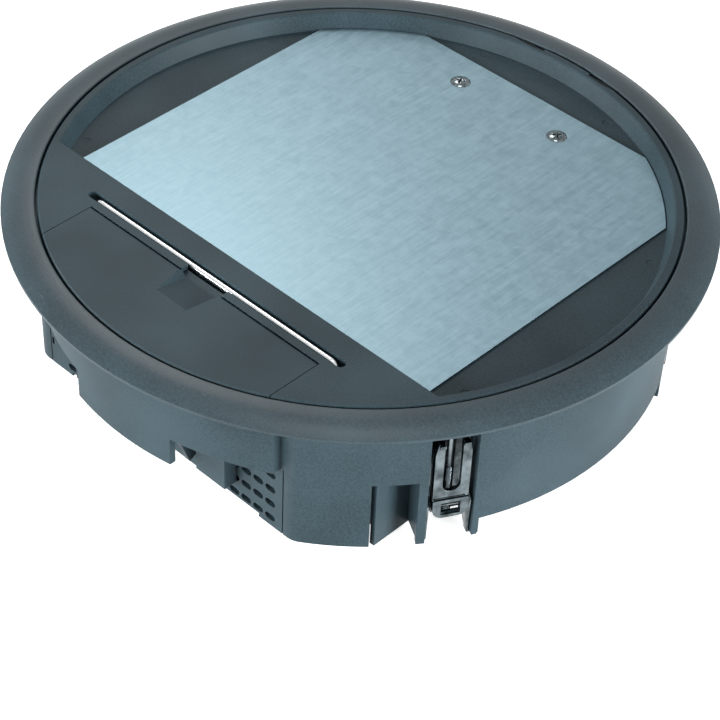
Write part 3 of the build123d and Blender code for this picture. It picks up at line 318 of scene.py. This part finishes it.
stainlessFinish = {
    "dark": "#C9CBCC", "light": "#DCDEDF", "cloud": 0.004, "scuff": 0.0008,
    "smooth": 0.12, "rough": 0.22, "edge": 0.0001,
}
nickelFinish = {
    "dark": "#8C9396", "light": "#B9BFC1", "cloud": 0.002, "scuff": 0.0006,
    "smooth": 0.14, "rough": 0.26, "edge": 0.00015,
}
zincFinish = {
    "dark": "#4E585C", "light": "#879196", "cloud": 0.009, "scuff": 0.002,
    "smooth": 0.14, "rough": 0.26, "edge": 0.0002,
}
blackFinish = {
    "dark": "#1B1E20", "light": "#24282A", "cloud": 0.003, "scuff": 0.0008,
    "smooth": 0.35, "rough": 0.5, "edge": 0.0001,
}
# the claws' zinc runs much darker than bright zinc plate is: this dark tone is painted shade, standing
# in for the shade of the claw pocket and the dark surroundings the plating mirrors
clawFinishPaintedShade = {
    "dark": "#2E3538", "light": "#7C868A", "cloud": 0.007, "scuff": 0.003,
    "smooth": 0.1, "rough": 0.2, "edge": 0.0003,
}
headFinish = {
    "dark": "#3E4649", "light": "#828B8E", "cloud": 0.0016, "scuff": 0.0008,
    "smooth": 0.12, "rough": 0.24, "edge": 0.0002,
}
brassFinish = {
    "dark": "#B08A45", "light": "#C9A45C", "cloud": 0.003, "scuff": 0.0008,
    "smooth": 0.2, "rough": 0.34, "edge": 0.0001,
}
springFinish = {
    "dark": "#A8AAAB", "light": "#BFC1C2", "cloud": 0.004, "scuff": 0.001,
    "smooth": 0.22, "rough": 0.34, "edge": 0.0001,
}
stainlessRod = platedMetal("stainless steel rod, bright drawn", stainlessFinish)
nickelPlate = platedMetal("nickel-plated steel", nickelFinish)
zincPlate = platedMetal("bright zinc-plated steel, clear passivated", zincFinish)
# painted shade: the claws' plating is darkened in its colour to stand in for the shade it sits in
clawZincPaintedShade = platedMetal("bright zinc-plated spring steel, dark in the deep bends", clawFinishPaintedShade)
headNickel = platedMetal("nickel-plated steel, satin head", headFinish)
blackedSteel = platedMetal("steel, black oxide", blackFinish)
drawnBrass = platedMetal("brass, drawn", brassFinish)
springStrip = platedMetal("nickel-plated spring strip", springFinish)

finishOfSlot = {
    "moulded_plastic": slatePlastic,
    "cover_plastic": coverPlastic,
    "socket_plastic": socketPlastic,
    "rubber": mouldedRubber,
    "galvanised_sheet": galvanisedSteel,
    "stainless_rod": stainlessRod,
    "nickel_screws": nickelPlate,
    "zinc_steel": zincPlate,
    "brass": drawnBrass,
    "spring_steel": springStrip,
}
ownFinish = {"trim_ring": ringPlastic, "hinge_pin": blackedSteel}
for entry in frame["record"]["subparts"]:
    data = nodes[entry["node"]].data
    data.materials.clear()
    data.materials.append(ownFinish.get(entry["node"], finishOfSlot[entry["material_slot"]]))
print("finishes made and given to the CAD nodes")


# every screw is drawn round Z at the origin, and its copies are then set in place
mergeGap = 0.000005
sheetMergeGap = 0.000001
creaseAngle = 40


def pickOnly(*items):
    # with no items given, nothing stays selected
    bpy.ops.object.select_all(action="DESELECT")
    for item in items:
        item.select_set(True)
    if items:
        bpy.context.view_layer.objects.active = items[0]


def editAll():
    bpy.ops.object.mode_set(mode="EDIT")
    bpy.ops.mesh.select_all(action="SELECT")


def leaveEdit():
    bpy.ops.object.mode_set(mode="OBJECT")


def weld(item, gap=mergeGap):
    # doubles merged and the faces turned outwards
    pickOnly(item)
    editAll()
    bpy.ops.mesh.remove_doubles(threshold=gap)
    bpy.ops.mesh.normals_make_consistent(inside=False)
    volume = bmesh.from_edit_mesh(item.data).calc_volume(signed=True)
    if volume < 0:  # a long thread can come out inside out
        bpy.ops.mesh.flip_normals()
    leaveEdit()


def turnProfile(name, points, steps, rise=0.0, turns=1):
    # one vertex is drawn along the profile, which the Screw modifier then turns round Z
    pickOnly()
    bpy.ops.mesh.primitive_plane_add(size=mm, location=(0, 0, 0))
    item = bpy.context.object
    item.name = item.data.name = name
    editAll()
    bpy.ops.mesh.merge(type="CENTER")
    bpy.ops.transform.translate(value=(points[0][0] * mm, 0, points[0][1] * mm))
    for here, there in zip(points, points[1:]):
        step = ((there[0] - here[0]) * mm, 0, (there[1] - here[1]) * mm)
        bpy.ops.mesh.extrude_region_move(TRANSFORM_OT_translate={"value": step})
    leaveEdit()
    turn = item.modifiers.new("turn", "SCREW")
    turn.steps = turn.render_steps = steps
    turn.screw_offset, turn.iterations = rise * mm, turns
    turn.use_merge_vertices, turn.merge_threshold = True, mergeGap
    bpy.ops.object.modifier_apply(modifier=turn.name)
    weld(item)
    return item


def cutCross(item, cross):
    # the driver's cross: two tapered wings, cut one after the other
    middle = (cross["top"] - cross["depth"] / 2) * mm
    for wing in ((cross["reach"], cross["width"]), (cross["width"], cross["reach"])):
        pickOnly()
        size = (wing[0], wing[1], cross["depth"])
        bpy.ops.mesh.primitive_cube_add(size=mm, location=(0, 0, middle), scale=size)
        cutter = bpy.context.object
        bpy.ops.object.transform_apply(location=True, rotation=True, scale=True)
        bpy.ops.object.mode_set(mode="EDIT")
        bpy.ops.mesh.select_all(action="DESELECT")
        cage = bmesh.from_edit_mesh(cutter.data)
        for face in cage.faces:
            face.select_set(face.normal.z < -0.9)  # the underside
        bmesh.update_edit_mesh(cutter.data)
        bpy.ops.transform.resize(value=(cross["taper"], cross["taper"], 1))
        leaveEdit()
        pickOnly(item)
        bite = item.modifiers.new("cross", "BOOLEAN")
        bite.object, bite.operation, bite.solver = cutter, "DIFFERENCE", "EXACT"
        bpy.ops.object.modifier_apply(modifier=bite.name)
        bpy.data.objects.remove(cutter)


def breakEdges(item, width, segments=2, angle=35):
    # edges sharper than the angle are rounded, then the rest is shaded smooth
    pickOnly(item)
    edge = item.modifiers.new("edge", "BEVEL")
    edge.width, edge.segments = width * mm, segments
    edge.limit_method, edge.angle_limit = "ANGLE", math.radians(angle)
    edge.use_clamp_overlap, edge.miter_outer = True, "MITER_ARC"
    bpy.ops.object.modifier_apply(modifier=edge.name)
    bpy.ops.object.shade_smooth_by_angle(angle=math.radians(creaseAngle))


def copyTo(item, name, place, angle=0.0):
    # the copy has its own mesh, and its place goes into that mesh
    pickOnly(item)
    bpy.ops.object.duplicate(linked=False)
    twin = bpy.context.object
    twin.name = twin.data.name = name
    twin.location = [length * mm for length in place]
    twin.rotation_euler = (0, 0, math.radians(angle))
    bpy.ops.object.transform_apply(location=True, rotation=True, scale=True)
    return twin


def joinAs(name, items):
    pickOnly(*items)
    bpy.ops.object.join()
    items[0].name = items[0].data.name = name
    return items[0]


def giveFinish(item, material, body, slotName, *replaced):
    item.data.materials.clear()
    item.data.materials.append(material)
    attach(item, body)
    if replaced:
        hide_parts(*replaced)


def turnBlank(name, screw):
    blank = turnProfile(name, screw["profile"], screw["steps"])
    cutCross(blank, screw["cross"])
    breakEdges(blank, screw["edge"])
    return blank


def setScrews(name, screw):
    # a copy of one blank at each spot, each turned further than the last, joined as one piece
    blank = turnBlank(name + "Blank", screw)
    copies = []
    for count, spot in enumerate(screw["spots"]):
        angle = screw["firstTurn"] + screw["nextTurn"] * count
        copies.append(copyTo(blank, name + "Copy", spot, angle))
    bpy.data.objects.remove(blank)
    return joinAs(name, copies)


# raised countersunk screws of the steel plate, M5 with a cross recess
plateScrew = {
    "spots": [(-30.7, 101.9, 73.7), (30.7, 101.9, 73.7)],
    "profile": [
        (0, 1.25), (1.3, 1.2), (2.6, 0.98), (3.7, 0.6), (4.5, 0.18),
        (4.85, -0.12), (4.85, -0.3), (2.45, -2.7), (2.45, -5.9), (0, -5.9),
    ],
    "cross": {"reach": 5.4, "width": 1.25, "depth": 2.8, "top": 1.3, "taper": 0.55},
    "steps": 56,
    "edge": 0.12,
    "firstTurn": 20,
    "nextTurn": -65,
}
plateScrews = setScrews("plateScrews", plateScrew)
giveFinish(plateScrews, headNickel, "lid", "nickel_screws", "plate_screws")
print("plate screws turned and set")

# pan-head screws that hold the mounting boxes on the rails
boxScrew = {
    "spots": [(side * 62.0, end * 110.0, 37.0) for side in (-1, 1) for end in (-1, 1)],
    "profile": [
        (0, 1.98), (1.5, 1.9), (2.6, 1.62), (3.4, 1.1), (3.75, 0.5),
        (3.75, 0.02), (1.95, 0.02), (1.95, -4.9), (0, -4.9),
    ],
    "cross": {"reach": 4.0, "width": 1.0, "depth": 1.6, "top": 2.1, "taper": 0.6},
    "steps": 40,
    "edge": 0.1,
    "firstTurn": 25,
    "nextTurn": 31,
}
boxScrews = setScrews("boxScrews", boxScrew)
giveFinish(boxScrews, nickelPlate, "root", "nickel_screws", "box_screws")
print("box screws turned and set")

# claw screws: M5 with a plain shank, and a real 0.8 mm thread where the nut runs
clawScrew = {
    "axis": 140.6,
    "angles": [30.0, 150.0, 210.0, 330.0],
    "seat": 61.96,
    "tip": 10.05,
    "shankEnd": 39.0,
    "profile": [
        (0, 2.98), (1.8, 2.88), (3.1, 2.45), (3.9, 1.6), (4.18, 0.7),
        (4.1, 0.04), (2.4, 0.04), (2.4, -22.6), (2.0, -23.2), (0, -23.2),
    ],
    "cross": {"reach": 4.8, "width": 1.2, "depth": 2.2, "top": 3.1, "taper": 0.6},
    "steps": 48,
    "edge": 0.12,
    "nextTurn": 35,
    "pitch": 0.8,
    "thread": [(1.98, 0.0), (2.39, 0.3), (2.39, 0.4), (1.98, 0.7), (1.98, 0.8)],
    "threadSteps": 24,
    "threadCrease": 50,
    "spareTurns": 3,
}
head = turnBlank("clawScrewHead", clawScrew)
pitch = clawScrew["pitch"]
threadLength = clawScrew["shankEnd"] - clawScrew["tip"]
threadTurns = int(threadLength / pitch) + clawScrew["spareTurns"]
threadSteps = clawScrew["threadSteps"]
thread = turnProfile("clawScrewThread", clawScrew["thread"], threadSteps, pitch, threadTurns)

# the spare turns are cut off square at both ends, and the ends are closed
pickOnly(thread)
bpy.ops.object.mode_set(mode="EDIT")
for height, below in ((pitch, True), (pitch + threadLength, False)):
    cutAt = (0, 0, height * mm)
    bpy.ops.mesh.select_all(action="SELECT")
    bpy.ops.mesh.bisect(
        plane_co=cutAt, plane_no=(0, 0, 1), clear_inner=below, clear_outer=not below)
bpy.ops.mesh.select_all(action="SELECT")
bpy.ops.mesh.fill_holes(sides=0)
leaveEdit()
weld(thread)
bpy.ops.object.shade_smooth_by_angle(angle=math.radians(clawScrew["threadCrease"]))
thread.location.z = (clawScrew["tip"] - clawScrew["seat"] - pitch) * mm
bpy.ops.object.transform_apply(location=True, rotation=True, scale=True)

blank = joinAs("clawScrewBlank", [head, thread])
for number, angle in enumerate(clawScrew["angles"], 1):
    turned = math.radians(angle)
    axis = clawScrew["axis"]
    spot = (axis * math.cos(turned), axis * math.sin(turned), clawScrew["seat"])
    headAngle = angle + clawScrew["nextTurn"] * number
    screw = copyTo(blank, "clawScrew" + str(number), spot, headAngle)
    giveFinish(screw, zincPlate, "screw_" + str(number), "zinc_steel", "claw_screw_" + str(number))
bpy.data.objects.remove(blank)
print("claw screws cut with", threadTurns, "turns of thread")


def tumbledCopy(node, name, part):
    # the sheet piece again with its edges broken, as tumbling leaves them before plating
    pickOnly(nodes[node])
    bpy.ops.object.duplicate(linked=False)
    twin = bpy.context.object
    twin.name = twin.data.name = name
    bpy.ops.object.parent_clear(type="CLEAR_KEEP_TRANSFORM")
    weld(twin, sheetMergeGap)
    editAll()
    bpy.ops.mesh.dissolve_limited(angle_limit=math.radians(part["flatAngle"]))
    leaveEdit()
    breakEdges(twin, part["edge"], part["segments"])
    return twin


# claws and their brackets, stamped from sheet: both keep the CAD's size and place
clawPlate = {"name": "clawPlate", "edge": 0.45, "segments": 3, "flatAngle": 1.5, "moves": True}
clawBracket = dict(clawPlate, name="clawBracket", edge=0.3, moves=False)
sheetParts = {"claw": clawPlate, "claw_bracket": clawBracket}
for kind, part in sheetParts.items():
    for number in range(1, 5):
        node = kind + "_" + str(number)
        stamped = tumbledCopy(node, part["name"] + str(number), part)
        giveFinish(stamped, clawZincPaintedShade, node if part["moves"] else "root", "zinc_steel", node)
print("claws and brackets tumbled")
